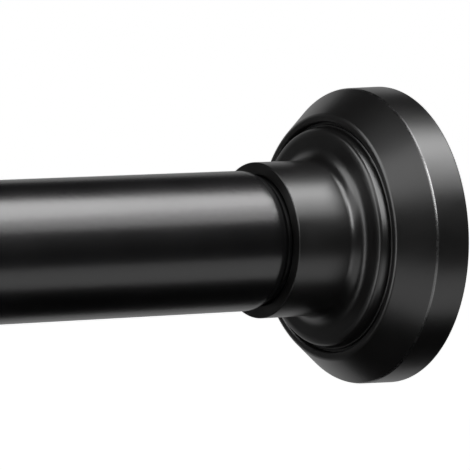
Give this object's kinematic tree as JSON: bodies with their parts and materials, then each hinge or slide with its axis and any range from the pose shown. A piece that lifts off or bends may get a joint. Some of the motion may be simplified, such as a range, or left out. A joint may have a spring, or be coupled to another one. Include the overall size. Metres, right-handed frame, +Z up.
{
  "type": "spring tension rod",
  "caption": "Round spring tension rod: telescoping tubes with an inner twist lock and compression spring, and flared round end caps with grip pads.",
  "frame": {"origin": "centre of the first end's wall face, on the rod's axis", "axes": "+X along the rod from the first end's wall to the far wall, +Z up, +Y across the rod"},
  "size_m": [0.7711, 0.0544, 0.0544],
  "materials": {
    "black_tube": "satin black coating on steel tube",
    "black_moulding": "semi-gloss black moulded plastic",
    "black_rubber": "matt black rubber",
    "plain_steel": "plain zinc-coated steel",
    "inner_moulding": "natural matt moulded plastic"
  },
  "bodies": {
    "fixed_end": {"wall_pad": "black_rubber", "cover_ring": "black_moulding", "end_bell": "black_moulding"},
    "outer_half": {"outer_tube": "black_tube", "tube_plug": "inner_moulding", "plug_pins": "plain_steel", "cap_screw": "plain_steel", "cap_washer": "plain_steel", "mouth_bush": "black_moulding"},
    "expander": {"expander_sleeve": "inner_moulding"},
    "cone": {"cone_nut": "inner_moulding"},
    "lock_core": {"lock_stud": "plain_steel", "stud_clip": "plain_steel", "thrust_washer": "inner_moulding", "spring_seat": "plain_steel", "stop_washer": "plain_steel", "stop_nut": "plain_steel", "compression_spring": "plain_steel"},
    "inner_half": {"inner_tube": "black_tube", "shank_guide": "inner_moulding", "guide_pins": "plain_steel", "far_reducer": "black_moulding", "far_tube_plug": "inner_moulding", "far_plug_pins": "plain_steel", "far_cap_screw": "plain_steel", "far_cap_washer": "plain_steel"},
    "far_end": {"far_end_bell": "black_moulding", "far_cover_ring": "black_moulding", "far_wall_pad": "black_rubber"}
  },
  "joints": [
    {"name": "swivel", "type": "hinge", "parent": "fixed_end", "child": "outer_half", "pos_m": [0.00805, 0, 0], "axis": [1, 0, 0], "continuous": true},
    {"name": "extension", "type": "slide", "parent": "outer_half", "child": "expander", "axis": [1, 0, 0], "range_m": [-0.06, 0.321]},
    {"name": "twist", "type": "hinge", "parent": "expander", "child": "lock_core", "pos_m": [0.148, 0, 0], "axis": [-1, 0, 0], "range_deg": [0, 270]},
    {"name": "cone_travel", "type": "slide", "parent": "expander", "child": "cone", "axis": [1, 0, 0], "range_m": [0, 0.0015]},
    {"name": "spring_travel", "type": "slide", "parent": "lock_core", "child": "inner_half", "axis": [-1, 0, 0], "range_m": [0, 0.02], "stiffness_N_per_m": 6450, "springref_m": -0.005, "deforming": ["compression_spring"]},
    {"name": "far_swivel", "type": "hinge", "parent": "inner_half", "child": "far_end", "pos_m": [0.76305, 0, 0], "axis": [1, 0, 0], "continuous": true}
  ],
  "couplings": [
    {"joint": "cone_travel", "follows": "twist", "m_per_rad": 0.0003183}
  ]
}
